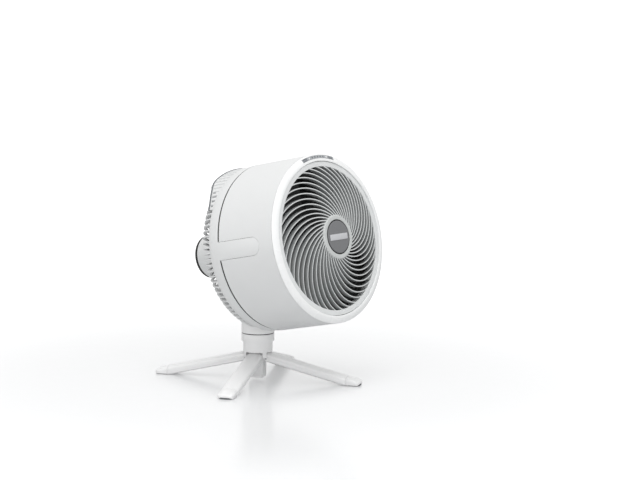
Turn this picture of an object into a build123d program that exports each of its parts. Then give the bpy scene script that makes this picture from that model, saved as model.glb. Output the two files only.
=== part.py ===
"""Air circulator fan on a low folding four-leg stand.

Millimetres, +Z up, origin on the post axis at the floor.  The fan blows towards -Y and is
tilted up a little.  The head is drawn in its own coordinates: X to the right seen from the
front, Y up, Z forward along the head axis, with Z = 0 at the rim plane of the drum.
"""
from build123d import *
from math import acos, asin, atan2, cos, degrees, pi, radians, sin, sqrt
import os

# ---------------------------------------------------------------- driving dimensions
# fits
slip = 0.3                    # gap between faces that move past each other
shaft_clearance = 0.05        # radial running clearance of a pin or shaft in its hole
seat = 0.02                   # radial clearance of a fixed pin in its lug
beyond = 20.0                 # how far a cutting block reaches past what it cuts

# pose that the object is drawn in
rest_tilt = 12.0              # degrees that the head looks up
rest_pan = 21.5               # degrees that the head is turned from the stand's middle direction

# head: drum, bezel and rear ring
drum_radius = 152.0
drum_wall = 3.0
drum_length = 125.6
drum_lip = 3.0                # depth of the lip at the drum's rear edge
seam_gap = 2.2
ring_length = 21.4
ring_wall = 4.0
ring_inset = 1.4              # how much the ring narrows towards its rear edge
ring_floor = 3.0              # thickness of the ring's rear wall
ring_floor_width = 9.0        # how far that wall reaches inwards
bezel_width = 13.5
bezel_rise = 5.3              # height of the bezel's crest above the rim plane
bezel_crest = 1.5             # from the bezel's inner edge to its crest
bezel_skirt = 12.0
bezel_skirt_wall = 2.0
duct_wall = 2.0
duct_rear = 12.0              # how far the duct reaches into the ring
duct_flange = 4.0             # flange of the duct that shows dark in the seam
tab_height = 32.0
tab_length = 96.0
tab_gap = 0.5
tab_root = 2.0                # how far each tab reaches back into the ring
tab_raise = 2.4               # degrees that each tab's middle lies above the head axis

# front grille
grille_gap = 0.8
frame_width = 9.0
vane_count = 40
vane_thickness = 2.0
vane_depth = 10.0
vane_near = 19.4              # nearest that a vane's circle comes to the head axis
vane_beyond = 7.7             # how far that circle passes outside the grille
vane_phase = 8.2              # degrees, where a vane crosses the reference radius
vane_reference_radius = 90.0
dome_rise = 24.0
centre_ring_radius = 39.5
centre_ring_width = 8.3
vane_sections = 7             # sections that each vane is lofted through
badge_radius = 30.4
centre_lift = 1.4             # of the centre ring over the vanes
centre_floor = 2.0            # thickness of the floor inside the centre ring
frame_drop = 1.8              # of the frame's outer edge below the bezel's crest
frame_lift = 0.6              # of the frame's inner edge over the vanes
vane_root = 3.0               # how far a vane reaches into the centre ring
badge_thickness = 4.0
badge_proud = 0.8
badge_stem_radius = 12.0
badge_plate = (48.0, 11.0, 1.2)

# rear grille
rib_count = 90
rib_thickness = 2.2
rib_depth = 6.5
inner_rib_depth = 3.9
shoulder_length = 36.0        # from the ring's rear edge to the rear face at the outer ribs
shoulder_curve = [            # the ribs' curve: inwards from the drum, behind the ring
    (ring_inset, 0.0), (2.6, 10.0), (8.5, 21.0), (21.0, 31.0)]
middle_hoop_radius = 106.0
hoop_drop = 4.0               # of the middle hoop behind the outer ribs' rear edge
hoop_width = 4.0
hub_hoop_wall = 4.7
hub_hoop_depth = 9.0
rear_dome = 12.0

# carry handle over the rear shoulder
handle_wall = 3.2
handle_inset = 1.7            # how far the handle's outside lies inside the drum's
handle_half_front = 106.0     # half width where the handle leaves the ring
handle_half_rear = 82.0       # half width at its rear edge
handle_lip = 5.0              # how far the grip's edge reaches inwards
handle_lip_thickness = 3.5

# motor, housing and battery
housing_base_radius = 58.0
housing_end_radius = 39.5
housing_end = 290.0           # rear rim of the housing behind the rim plane
housing_wall = 2.5
housing_mouth = 42.0          # depth of the wide mouth that holds the motor's plate
housing_straight = 8.0        # straight stretch before the taper
end_cap_thickness = 5.5
end_cap_plug = 4.0
motor_radius = 32.0
motor_length = 34.0
motor_boss_wall = 7.0
mount_plate_thickness = 4.0
battery_radius = 31.0
battery_length = 70.0
board_radius = 34.0
board_thickness = 1.6

# rotor
blade_count = 7
blade_gap = 8.5               # between the blades' tips and the duct
hub_radius = 34.0
hub_length = 40.0
blade_thickness = 2.6
blade_root_chord = 72.0
blade_tip_chord = 104.0
blade_root_pitch = 40.0
blade_tip_pitch = 30.0
blade_camber = 0.09           # share of the chord that a blade bulges
blade_plane = 88.0            # blades' middle behind the rim plane
hub_wall = 3.0
hub_face = 12.0               # thickness of the hub's front wall
hub_bevel = 8.0
shaft_radius = 4.0
nut_radius = 14.0
nut_height = 9.0
nut_face = 1.3                # closed front of the nut
shaft_tail = 6.0              # of the shaft behind the motor's plate

# controls at the top of the bezel
panel_angle = 34.0
panel_band = 5.6
panel_inset = 5.8             # from the drum's outside to the strip's middle
panel_thickness = 1.2
panel_proud = 0.1
button_travel = 0.8
button_height = 2.2
button_proud = 0.35
button_margin = 0.8           # panel left beside an end button
end_button_angle = 4.2
dot_button_radius = 1.6
light_count = 5
light_pitch = 2.9
light_size = 2.4

# tilt joint
pivot_height = 114.0
pivot_inset = 27.8            # pivot from the drum's outside, towards the head axis
pivot_behind_ring = 45.0      # pivot from the ring's rear edge
knuckle_radius = 26.5
pocket_gap = 1.0
tongue_width = 24.0
tongue_radius = 12.5
tilt_pin_radius = 4.0
pin_inset = 5.0               # of the tilt pin's ends from the neck's outside
bracket_half_width = 34.5
bracket_wall = 4.5
pocket_edge = 0.8             # wall left between the pocket and the ring

# neck and post
neck_radius = 30.2
neck_floor = 4.0
neck_web = 2.1                # between the gear room and the fork's slot
neck_shoulder_drop = 8.0      # from the pivot down to the neck's round shoulder
pan_gap = 0.6                 # between the collar and the neck that turns on it
collar_length = 13.5
post_radius = 27.0
post_wall = 3.0
post_bottom = 53.2
tongue_bottom = 43.0
notch_gap = 0.8               # beside each leg in the post's notch
spindle_radius = 10.0
spindle_bore = 6.0
spindle_flange = 2.5          # thickness of the spindle's foot
spindle_end = 0.6             # of the spindle past its clip
clip_gap = 0.2
clip_thickness = 1.6
clip_width = 3.0

# oscillation gears
gear_module = 1.0
gear_teeth = 28
pinion_teeth = 11
gear_thickness = 4.0
gear_headroom = 3.0
gear_backlash = 0.5
tooth_tip = 0.8               # of a tooth over the pitch circle, in modules
tooth_root = 1.2              # of a gap under the pitch circle, in modules
tooth_lean = 0.36             # lean of a tooth's flank
pinion_shaft_radius = 1.5
pinion_shaft_reach = 4.0      # of the pinion's shaft into its motor
gear_motor_radius = 6.4
gear_motor_length = 9.0

# legs
leg_count = 4
toe_top = 10.2                # height that a leg's top falls to at its toe
leg_width = 30.0
leg_thickness = 16.5
leg_reach = 196.5
toe_length = 25.5
leg_corner = 2.0
leg_split_gap = 1.0           # between neighbouring legs when they are folded
hinge_height = 41.5
hinge_pin_radius = 2.5
knuckle_width = 14.0
lug_thickness = 4.4
lug_radius = 5.2
toe_clearance = 1.5
toe_corner = 8.0
toe_seam = 0.8                # width of the groove between leg and toe
toe_neck = 18.0               # width of the neck inside that groove
pad_thickness = 3.0
pad_corner = 4.0
pad_width = 22.0
pad_length = 23.0
core_bottom = 8.0
core_corner = 2.5
core_floor = 20.0             # closed foot of the core under its cable bore
core_cap_thickness = 3.0

# ---------------------------------------------------------------- derived places
leg_outer = neck_radius - 0.25            # radius of the folded bundle of legs
leg_seam = leg_reach - toe_length
core_half = leg_outer - leg_thickness - slip
hinge_radius = core_half + lug_radius + 2 * slip      # hinge pin from the post axis
leg_run = leg_reach - hinge_radius
leg_drop = hinge_height - toe_top
leg_slope = degrees(atan2(leg_drop, leg_run)
                    + asin((leg_outer - hinge_radius) / sqrt(leg_run**2 + leg_drop**2)))
slot_low = pivot_height - tongue_radius - pocket_gap
gear_room_top = slot_low - neck_web
gear_low = gear_room_top - gear_headroom - gear_thickness
neck_bottom = gear_low - slip - neck_floor
collar_top = neck_bottom - pan_gap
collar_bottom = collar_top - collar_length
neck_shoulder = pivot_height - neck_shoulder_drop
ring_front = -(drum_length + seam_gap)
ring_rear = ring_front - ring_length
rear_edge = ring_rear - shoulder_length
bezel_inner = drum_radius - bezel_width
duct_radius = bezel_inner                 # the duct runs on behind the bezel's skirt
blade_tip_radius = duct_radius - blade_gap
grille_outer = bezel_inner - grille_gap
vane_arc = (grille_outer + vane_beyond + vane_near) / 2       # radius of a vane's circle
vane_arc_offset = (grille_outer + vane_beyond - vane_near) / 2
hub_hoop_radius = housing_base_radius + slip + hub_hoop_wall
axis_above_pivot = drum_radius - pivot_inset
rim_ahead_of_pivot = pivot_behind_ring - ring_rear
pivot = Vector(0, 0, pivot_height)
tilt = radians(rest_tilt)
forward = Vector(0, -cos(tilt), sin(tilt))
upward = Vector(0, sin(tilt), cos(tilt))
head_plane = Plane(
    origin=pivot + forward * rim_ahead_of_pivot + upward * axis_above_pivot,
    x_dir=(1, 0, 0),
    z_dir=forward,
)
pivot_side = Plane(                       # rear = local X, up = local Y, seen from the side
    origin=(0, -axis_above_pivot, -rim_ahead_of_pivot), x_dir=(0, 0, -1), z_dir=(1, 0, 0)
)
profile_plane = Plane(origin=(0, 0, 0), x_dir=(1, 0, 0), z_dir=(0, -1, 0))
stand_turn = -90.0 - rest_pan + 180.0 / leg_count
fold_angle = 90.0 - leg_slope


# ---------------------------------------------------------------- helpers
def save(part, name):
    """Write one sub-part to its own file."""
    part.label = name
    export_step(part, os.path.join("parts", name + ".step"))


def turned(points, arc=360):
    """Revolve an outline of (radius, height) points about the vertical axis."""
    outline = profile_plane * make_face(Polyline(*points, close=True))
    return revolve(outline, Axis.Z, arc)


def ring(outer, inner, bottom, top):
    """A plain round ring between two heights."""
    return turned([(inner, bottom), (outer, bottom), (outer, top), (inner, top)])


def disc(radius, bottom, top, at=(0, 0)):
    """A plain round disc between two heights."""
    return Pos(at[0], at[1], bottom) * extrude(Circle(radius), top - bottom)


def in_head(part):
    """Place a piece drawn in the head's coordinates."""
    return head_plane.location * part


def dome_height(radius):
    """Height of the grille's dome above its rim at a radius."""
    sphere = (grille_outer**2 + dome_rise**2) / (2 * dome_rise)
    return sqrt(sphere**2 - radius**2) - (sphere - dome_rise)


# ---------------------------------------------------------------- head casings
def make_drum():
    """Thin cylindrical casing with a pill-shaped notch on each side for the tabs."""
    inner = drum_radius - drum_wall
    shell = turned([
        (inner, 0), (drum_radius, 0), (drum_radius, -drum_length),
        (duct_radius + duct_wall + slip, -drum_length),
        (duct_radius + duct_wall + slip, drum_lip - drum_length), (inner, drum_lip - drum_length),
    ])
    return shell - tab_solid(tab_gap, drum_radius + 1, inner - 1)


def tab_outline(gap):
    """Side outline of one tab, drawn flat: straight at the ring, round at its front end."""
    half = tab_height / 2 + gap
    front = ring_front + tab_length + gap
    straight = front - half
    back = ring_front - tab_root
    edge = [
        Line((-half, back), (-half, straight)),
        ThreePointArc((-half, straight), (0, front), (half, straight)),
        Line((half, straight), (half, back)),
        Line((half, back), (-half, back)),
    ]
    return make_face(edge)


def tab_solid(gap, outer, inner):
    """Both side tabs between two radii."""
    side = Plane(origin=(0, 0, 0), x_dir=(0, 1, 0), z_dir=(1, 0, 0))
    block = extrude(side * tab_outline(gap), outer)
    tab = Rot(0, 0, tab_raise) * (block & ring(outer, inner, ring_front - tab_root, 0))
    return tab + mirror(tab, Plane.YZ)


def make_rear_ring():
    """White band behind the seam, with the two side tabs that cross the seam."""
    inner = drum_radius - ring_wall
    band = turned([
        (inner, ring_front),
        (drum_radius, ring_front),
        (drum_radius, ring_front - 2 * tab_root),
        (drum_radius - ring_inset, ring_rear),
        (ring_rear_inner, ring_rear),
        (ring_rear_inner, ring_rear + ring_floor),
        (inner, ring_rear + ring_floor),
    ])
    return band + tab_solid(0, drum_radius, drum_radius - drum_wall)


def bezel_height(radius):
    """Height of the bezel's convex face above the rim plane."""
    crest_radius = bezel_inner + bezel_crest
    share = (radius - crest_radius) / (drum_radius - crest_radius)
    return bezel_rise - (bezel_rise - slip) * share**2


def make_bezel():
    """Convex front ring that closes the drum, with a seat for the control panel."""
    inside = bezel_inner + bezel_skirt_wall
    face = [bezel_inner + bezel_width * share for share in (0, 0.45, 0.78, 1)]
    solid = turned([
        (inside, -bezel_skirt), (bezel_inner, -bezel_skirt),
        *[(radius, bezel_height(radius)) for radius in face],
        (drum_radius - drum_wall, slip), (drum_radius - drum_wall, 0), (inside, 0),
    ])
    return solid - panel_space() - button_wells()


def make_duct():
    """Dark inner wall round the blades, with a flange that shows dark in the seam."""
    outer = duct_radius + duct_wall
    duct_front = -bezel_skirt - slip
    flange = drum_radius - ring_wall - slip
    return turned([
        (duct_radius, ring_front - duct_rear), (outer, ring_front - duct_rear),
        (outer, -drum_length - duct_flange), (flange, -drum_length - duct_flange),
        (flange, -drum_length), (outer, -drum_length), (outer, duct_front),
        (duct_radius, duct_front),
    ])


# ---------------------------------------------------------------- controls
panel_mid = drum_radius - panel_inset


def arc_band(radius, band, angle, bottom, top, middle=90.0):
    """A curved bar that lies on the bezel's face, centred on an angle seen from the front.

    bottom and top are heights above the bezel's face.
    """
    inner = radius - band / 2
    outer = radius + band / 2
    low, high = bezel_height(inner), bezel_height(outer)
    bar = turned([(inner, low + top), (outer, high + top), (outer, high + bottom),
                  (inner, low + bottom)], angle)
    return Rot(0, 0, middle - angle / 2) * bar


def panel_space():
    """Recess for the control panel in the bezel's face, open above."""
    widen = 2 * degrees(slip / panel_mid)
    return arc_band(panel_mid, panel_band + 2 * slip, panel_angle + widen,
                    -panel_thickness, 5)


def button_places():
    """Name, angle and kind of each button, from the left as seen from the front."""
    end = panel_angle / 2 - end_button_angle / 2 - 1.0
    dot = light_pitch * (light_count + 1) / 2 + 0.6
    return [
        ("power_button", 90 + end, "block"),
        ("minus_button", 90 + dot, "dot"),
        ("plus_button", 90 - dot, "dot"),
        ("swing_button", 90 - end, "block"),
    ]


def at_angle(angle, radius=panel_mid):
    """A place on the panel at an angle seen from the front."""
    return (radius * cos(radians(angle)), radius * sin(radians(angle)))


def button_shape(kind, angle, gap, bottom, top):
    """A button cap, or with a gap the hole that it moves in."""
    if kind == "dot":
        face = bezel_height(panel_mid)
        return disc(dot_button_radius + gap, face + bottom, face + top, at_angle(angle))
    widen = 2 * degrees(gap / panel_mid)
    return arc_band(panel_mid, panel_band - 2 * button_margin + 2 * gap,
                    end_button_angle + widen,
                    bottom, top, angle)


def button_wells():
    """Wells in the bezel under the buttons, a little deeper than they travel."""
    floor = button_proud - button_height - button_travel - slip
    wells = [button_shape(kind, angle, slip, floor, 1)
             for name, angle, kind in button_places()]
    return Part() + wells


def make_panel():
    """Dark curved panel with holes for its buttons and lights."""
    panel = arc_band(panel_mid, panel_band, panel_angle, -panel_thickness, panel_proud)
    for name, angle, kind in button_places():
        panel -= button_shape(kind, angle, slip, -panel_thickness - 1, 2)
    return panel - make_lights(seat, 1)


def make_lights(gap=0.0, above=0.1):
    """The row of square indicator windows between the two round buttons."""
    blocks = []
    face = bezel_height(panel_mid)
    low = face - panel_thickness + slip
    for index in range(light_count):
        angle = 90 + (index - (light_count - 1) / 2) * light_pitch
        x, y = at_angle(angle)
        size = light_size + 2 * gap
        square = Rot(0, 0, angle) * extrude(Rectangle(size, size), face + above - low)
        blocks.append(Pos(x, y, low) * square)
    return Part() + blocks


# ---------------------------------------------------------------- front grille
def arc_angle(radius):
    """Angle about the vane arc's centre where the arc crosses a radius from the head axis."""
    return acos((radius**2 - vane_arc_offset**2 - vane_arc**2)
                / (2 * vane_arc_offset * vane_arc))


def vane_section(turn):
    """Upright section of a vane where its arc has turned by an angle, under the dome."""
    x = vane_arc_offset + vane_arc * cos(turn)
    y = vane_arc * sin(turn)
    top = dome_height(sqrt(x**2 + y**2))
    across = Plane(origin=(x, y, top - vane_depth / 2), x_dir=(cos(turn), sin(turn), 0),
                   z_dir=(-sin(turn), cos(turn), 0))
    return across * Rectangle(vane_thickness, vane_depth)


def vane_solid():
    """One curved vane, lofted along its arc from the centre ring to the frame."""
    start = -arc_angle(centre_ring_radius - vane_root)
    end = -arc_angle(grille_outer - frame_width / 2)
    step = (end - start) / (vane_sections - 1)
    sections = [vane_section(start + step * index) for index in range(vane_sections)]
    return loft(sections, ruled=True)


def vane_turn():
    """Turn that puts a vane at the stated phase on the reference radius."""
    spot = -arc_angle(vane_reference_radius)
    x = vane_arc_offset + vane_arc * cos(spot)
    y = vane_arc * sin(spot)
    return vane_phase - degrees(atan2(y, x))


def make_front_grille():
    """Spiral grille: a frame ring and a centre ring joined by curved vanes."""
    vane = vane_solid()
    start = vane_turn()
    step = 360.0 / vane_count
    vanes = [Rot(0, 0, start + step * index) * vane for index in range(vane_count)]
    frame_inner = grille_outer - frame_width
    low = -vane_depth
    frame = turned([
        (frame_inner, low), (grille_outer, low), (grille_outer, bezel_rise - frame_drop),
        (frame_inner, dome_height(frame_inner) + frame_lift),
    ])
    centre_inner = centre_ring_radius - centre_ring_width
    centre = turned([
        (0, centre_low), (centre_ring_radius, centre_low), (centre_ring_radius, centre_top),
        (centre_inner, centre_top), (centre_inner, centre_low + centre_floor),
        (0, centre_low + centre_floor),
    ])
    return frame + [centre] + vanes


centre_top = dome_height(centre_ring_radius) + centre_lift
centre_low = dome_height(centre_ring_radius) - vane_depth - frame_lift
badge_top = centre_top + badge_proud


def make_badge():
    """Round bare badge in the grille's centre, with a recess for its plate."""
    face = disc(badge_radius, badge_top - badge_thickness, badge_top)
    stem = disc(badge_stem_radius, centre_low + centre_floor, badge_top - badge_thickness)
    length, height, depth = badge_plate
    recess = Pos(0, 0, badge_top - depth / 2) * extrude(Rectangle(length, height), depth)
    return face + stem - recess


def make_badge_plate():
    """Bare bar across the badge."""
    length, height, depth = badge_plate
    low = badge_top - depth / 2
    return Pos(0, 0, low) * extrude(Rectangle(length - slip, height - slip), depth)


# ---------------------------------------------------------------- rear grille and bracket
ring_rear_inner = drum_radius - ring_wall - ring_floor_width
rear_face = rear_edge - rear_dome         # height of the rear face beside the housing
shoulder_points = [                       # outer profile of the ribs: (radius, height)
    (drum_radius - inwards, ring_rear - behind) for inwards, behind in shoulder_curve
] + [(middle_hoop_radius, rear_edge - hoop_drop), (hub_hoop_radius - 1, rear_face)]


def rib_outline(points, depth):
    """A strip along the outer profile, as deep as the ribs."""
    first, last = points[0], points[-1]
    middle = points[len(points) // 2]
    inner = [(first[0] - depth, first[1])]
    if len(points) > 3:
        inner.append((middle[0] - depth * 0.8, middle[1] + depth * 0.6))
    inner.append((last[0] - depth * 0.4, last[1] + depth))
    return points + inner[::-1]


def rib_plate(points, depth, angle):
    """One thin rib standing in a plane through the head axis."""
    outline = profile_plane * make_face(Polyline(*rib_outline(points, depth), close=True))
    plate = extrude(outline, rib_thickness / 2, both=True)
    return Rot(0, 0, angle) * plate


def rib_meets_hoop(angle):
    """False for the ribs that the tilt bracket would cut off from the middle hoop."""
    aside = middle_hoop_radius * abs(cos(radians(angle)))
    return sin(radians(angle)) > 0 or aside > bracket_half_width + slip + rib_thickness


def envelope(grow=0.0):
    """Solid inside the rear grille's outer surface, or a little larger than it."""
    front = (drum_radius - ring_inset + grow, ring_rear)
    rest = [(r + grow, h - grow) for r, h in shoulder_points[1:]]
    return turned([(0, ring_rear), front] + rest + [(0, rear_face - grow)])


def make_rear_grille():
    """Fine ribs over the rear shoulder and in to the motor housing, on two hoops."""
    hoop = len(shoulder_curve)                # the place of the middle hoop in the outline
    outer_points = shoulder_points[:hoop + 1]
    inner_points = shoulder_points[hoop:]
    step = 360.0 / rib_count
    ribs = [rib_plate(outer_points, rib_depth, step * (index + 0.5))
            for index in range(rib_count) if rib_meets_hoop(step * (index + 0.5))]
    ribs += [rib_plate(inner_points, inner_rib_depth, step * (2 * index + 0.5))
             for index in range(rib_count // 2)]
    middle_low = inner_points[0][1]
    middle = ring(middle_hoop_radius + hoop_width / 2, middle_hoop_radius - hoop_width / 2,
                  middle_low, middle_low + rib_depth)
    hub = ring(hub_hoop_radius, housing_base_radius + slip,
               rear_face, rear_face + hub_hoop_depth)
    grille = middle + [hub] + ribs
    return grille - bracket_space(slip) - handle_space(slip)


# ---------------------------------------------------------------- carry handle
handle_outer = drum_radius - handle_inset
handle_inner = handle_outer - handle_wall
handle_rear = rear_edge - slip


def handle_wedge(inset=0.0):
    """Block over the top of the head, narrower at the rear, that the handle lies in."""
    front = handle_half_front - inset
    rear = handle_half_rear - inset
    outline = make_face(Polyline((-front, ring_rear), (front, ring_rear), (rear, handle_rear),
                                 (-rear, handle_rear), close=True))
    from_above = Plane(origin=(0, 0, 0), x_dir=(1, 0, 0), z_dir=(0, -1, 0))
    return extrude(from_above * outline, -drum_radius)


def handle_space(gap):
    """The room over the ribs that the handle and the fingers under it need."""
    room = ring(drum_radius + 1, handle_inner - gap, handle_rear - 1, ring_rear)
    return room & handle_wedge(-gap)


def make_carry_handle():
    """Hood over the rear shoulder with a lip to grip and a wall down to the ribs on each side."""
    lip = handle_rear + handle_lip_thickness
    hood = turned([
        (handle_inner, ring_rear), (handle_outer, ring_rear),
        (handle_outer, handle_rear + handle_wall / 2),
        (handle_outer - handle_wall / 2, handle_rear), (handle_inner - handle_lip, handle_rear),
        (handle_inner - handle_lip, lip), (handle_inner, lip),
    ])
    sides = handle_wedge() - handle_wedge(handle_wall)
    sides = sides & ring(handle_inner + 1, middle_hoop_radius, handle_rear, ring_rear)
    sides -= envelope(slip)
    return (hood & handle_wedge()) + sides


def bracket_space(gap):
    """The block of the rear corner that the tilt bracket fills."""
    half = bracket_half_width + gap
    top = bracket_reach + gap
    front = -(pivot_behind_ring + ring_length)
    rear = shoulder_length + rear_dome
    low = -pivot_inset - beyond
    outline = Polyline((front, low), (rear, low), (rear, top), (front, top), close=True)
    return extrude(pivot_side * make_face(outline), half, both=True)


bracket_reach = knuckle_radius + pocket_gap + bracket_wall


def make_tilt_bracket():
    """Moulded saddle at the bottom of the rear, with a pocket and a tongue for the tilt pin."""
    pocket = knuckle_radius + pocket_gap
    outer = pocket + bracket_wall
    front = pivot_behind_ring
    rear = shoulder_length + rear_dome
    low = -pivot_inset - beyond
    block = Polyline(
        (-front, low), (rear, low), (rear, bracket_reach), (-pocket * 0.4, bracket_reach),
        (-outer, pocket * 0.75), (-front, 2), close=True)
    solid = extrude(pivot_side * make_face(block), bracket_half_width, both=True)
    solid = solid & envelope()
    half = neck_radius + pocket_gap
    space = extrude(pivot_side * Circle(pocket), half, both=True)
    edge = pocket_edge - front                # the pocket's front wall behind the ring
    sweep = Polyline((-pocket - 1.2, -4), (edge, -24), (edge, low), (rear, low), (rear, 0),
                     (0, 0), close=True)
    space += extrude(pivot_side * make_face(sweep), half, both=True)
    solid -= space
    tongue = pivot_side * Circle(tongue_radius)
    web = make_face(Polyline((-tongue_radius, 0), (tongue_radius, 0), (4, pocket + 1),
                             (-pocket - 1, 6), close=True))
    tongue = extrude(tongue, tongue_width / 2, both=True)
    tongue += extrude(pivot_side * web, tongue_width / 2, both=True)
    bore = extrude(pivot_side * Circle(tilt_pin_radius + shaft_clearance), tongue_width, both=True)
    return solid + tongue - bore


# ---------------------------------------------------------------- motor housing and what it holds
housing_base = rear_face + hub_hoop_depth


def make_motor_housing():
    """Tapered housing behind the grille, with a wide mouth and a narrower bore behind it."""
    end = end_cap_thickness - housing_end
    base = housing_base_radius
    mouth = base - housing_wall
    bore = housing_end_radius - housing_wall
    return turned([
        (base, housing_base), (base, rear_face - housing_straight), (housing_end_radius, end),
        (bore, end),
        (bore, housing_base - housing_mouth / 2), (mouth, housing_base - housing_mouth / 2),
        (mouth, housing_base),
    ])


def make_end_cap():
    """Dark round plate that closes the housing."""
    end = -housing_end
    seat_face = end + end_cap_thickness
    inner = housing_end_radius - housing_wall - slip
    return turned([
        (0, end), (housing_end_radius, end), (housing_end_radius, seat_face),
        (inner, seat_face), (inner, seat_face + end_cap_plug), (0, seat_face + end_cap_plug),
    ])


plate_low = housing_base - mount_plate_thickness
motor_boss = shaft_radius + motor_boss_wall
battery_low = end_cap_thickness + end_cap_plug - housing_end


def make_motor_mount():
    """Round plate across the housing's mouth that carries the motor."""
    return ring(housing_base_radius - housing_wall - slip, motor_boss + slip,
                plate_low, housing_base)


def make_motor():
    """Brushless motor that hangs on the front of its plate."""
    bore = shaft_radius + shaft_clearance
    front = housing_base + motor_length
    return turned([
        (bore, plate_low), (motor_boss, plate_low), (motor_boss, housing_base),
        (motor_radius, housing_base), (motor_radius, front), (bore, front),
    ])


def make_battery():
    """Round battery pack in the housing's rear."""
    return disc(battery_radius, battery_low, battery_low + battery_length)


def make_board():
    """Round circuit board between the battery and the motor plate."""
    low = battery_low + battery_length
    return disc(board_radius, low, low + board_thickness)


# ---------------------------------------------------------------- rotor
def blade_section(radius, chord, pitch):
    """Flat cambered strip that a blade has at one radius."""
    centre = Vector(radius, 0, -blade_plane)
    turn = -radians(pitch)                    # the blades turn anticlockwise seen from the front
    rows = []
    for side in (0.5, -0.5):
        row = []
        for share in (-0.5, 0, 0.5):
            along = share * chord
            lift = blade_camber * chord * (1 - 4 * share**2) + side * blade_thickness
            row.append(Vector(0, along * cos(turn) - lift * sin(turn),
                              along * sin(turn) + lift * cos(turn)) + centre)
        rows.append(row)
    return make_face(Polyline(*rows[0], *rows[1][::-1], close=True))


def make_blades():
    """Hub with swept blades, cut round at their tips."""
    root = blade_section(hub_radius - hub_wall, blade_root_chord, blade_root_pitch)
    tip = blade_section(blade_tip_radius + beyond / 2, blade_tip_chord, blade_tip_pitch)
    blade = loft([root, tip], ruled=True)
    blade = blade & disc(blade_tip_radius, -blade_plane - blade_tip_chord,
                         -blade_plane + blade_tip_chord)
    blades = [Rot(0, 0, 360.0 / blade_count * index) * blade for index in range(blade_count)]
    low = -blade_plane - hub_length / 2
    high = low + hub_length
    bore = shaft_radius + seat
    hub = turned([
        (bore, high), (hub_radius - hub_bevel, high), (hub_radius, high - hub_bevel),
        (hub_radius, low),
        (hub_radius - hub_wall, low), (hub_radius - hub_wall, high - hub_face),
        (bore, high - hub_face),
    ])
    return hub + blades


def make_shaft():
    """Motor shaft from the plate to the blades' nut."""
    front = -blade_plane + hub_length / 2 + nut_height - nut_face
    return disc(shaft_radius, plate_low - shaft_tail, front)


def make_blade_nut():
    """Eight-sided nut that holds the blades on the shaft."""
    low = -blade_plane + hub_length / 2 + slip
    nut = Pos(0, 0, low) * extrude(RegularPolygon(nut_radius, 8), nut_height)
    return nut - disc(shaft_radius + seat, low - 1, low + nut_height - nut_face)


# ---------------------------------------------------------------- neck
def make_neck():
    """Round neck with a domed fork for the head's tongue and room for the gears."""
    body = disc(neck_radius, neck_bottom, neck_shoulder)
    dome = disc(neck_radius, neck_shoulder, pivot_height + knuckle_radius)
    pivot_axis = Plane(origin=pivot, x_dir=(0, 1, 0), z_dir=(1, 0, 0))
    dome = dome & extrude(pivot_axis * Circle(knuckle_radius), neck_radius, both=True)
    slot_height = knuckle_radius + tongue_radius + 10
    slot = Pos(0, 0, slot_low) * extrude(
        Rectangle(tongue_width + 2 * slip, 3 * neck_radius), slot_height)
    room_low = neck_bottom + neck_floor
    room = disc(gear_room_radius, room_low, gear_room_top)
    spindle = disc(spindle_radius + shaft_clearance, neck_bottom - 1, room_low + 1)
    motor = disc(gear_motor_radius + seat, gear_room_top - 1, gear_room_top + gear_motor_length,
                 (-gear_distance, 0))
    pin = extrude(pivot_axis * Circle(tilt_pin_radius + seat), neck_radius - pin_inset, both=True)
    return body + dome - slot - room - spindle - motor - pin


gear_distance = gear_module * (gear_teeth + pinion_teeth) / 2
gear_room_radius = gear_distance + gear_module * (pinion_teeth / 2 + tooth_tip) + slip


def make_tilt_pin():
    """Pin through the neck's fork and the head's tongue."""
    pivot_axis = Plane(origin=pivot, x_dir=(0, 1, 0), z_dir=(1, 0, 0))
    reach = neck_radius - pin_inset - seat
    return extrude(pivot_axis * Circle(tilt_pin_radius), reach, both=True)


def gear_outline(teeth, backlash):
    """Spur gear outline with straight-sided teeth."""
    pitch_radius = gear_module * teeth / 2
    root = pitch_radius - tooth_root * gear_module
    tip = pitch_radius + tooth_tip * gear_module
    step = 360.0 / teeth
    thickness = (pi * gear_module - backlash) / 2
    tip_half = degrees((thickness / 2 - tooth_lean * gear_module * tooth_tip) / tip)
    root_half = degrees((thickness / 2 + tooth_lean * gear_module) / root)
    points = []
    for index in range(teeth):
        for radius, offset in ((root, -root_half), (tip, -tip_half), (tip, tip_half),
                               (root, root_half)):
            angle = radians(step * index + offset)
            points.append((radius * cos(angle), radius * sin(angle)))
    return make_face(Polyline(*points, close=True))


def make_swing_gear():
    """Gear fixed round the spindle, that the pinion walks round."""
    gear = Pos(0, 0, gear_low) * extrude(gear_outline(gear_teeth, gear_backlash), gear_thickness)
    return gear - disc(spindle_radius + seat, gear_low - 1, gear_low + gear_thickness + 1)


def make_swing_pinion():
    """Small gear on the swing motor, with its shaft."""
    half_tooth = 180.0 / pinion_teeth         # a gap of the pinion faces a tooth of the gear
    outline = Rot(0, 0, half_tooth) * gear_outline(pinion_teeth, gear_backlash)
    gear = Pos(-gear_distance, 0, gear_low + slip) * extrude(outline, gear_thickness - slip)
    return gear + disc(pinion_shaft_radius, gear_low, gear_room_top + pinion_shaft_reach,
                       (-gear_distance, 0))


def make_swing_motor():
    """Small geared motor in the neck that swings the fan from side to side."""
    low = gear_room_top
    body = disc(gear_motor_radius, low, low + gear_motor_length - slip, (-gear_distance, 0))
    return body - disc(pinion_shaft_radius + shaft_clearance, low - 1,
                       low + pinion_shaft_reach + 1, (-gear_distance, 0))


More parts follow.
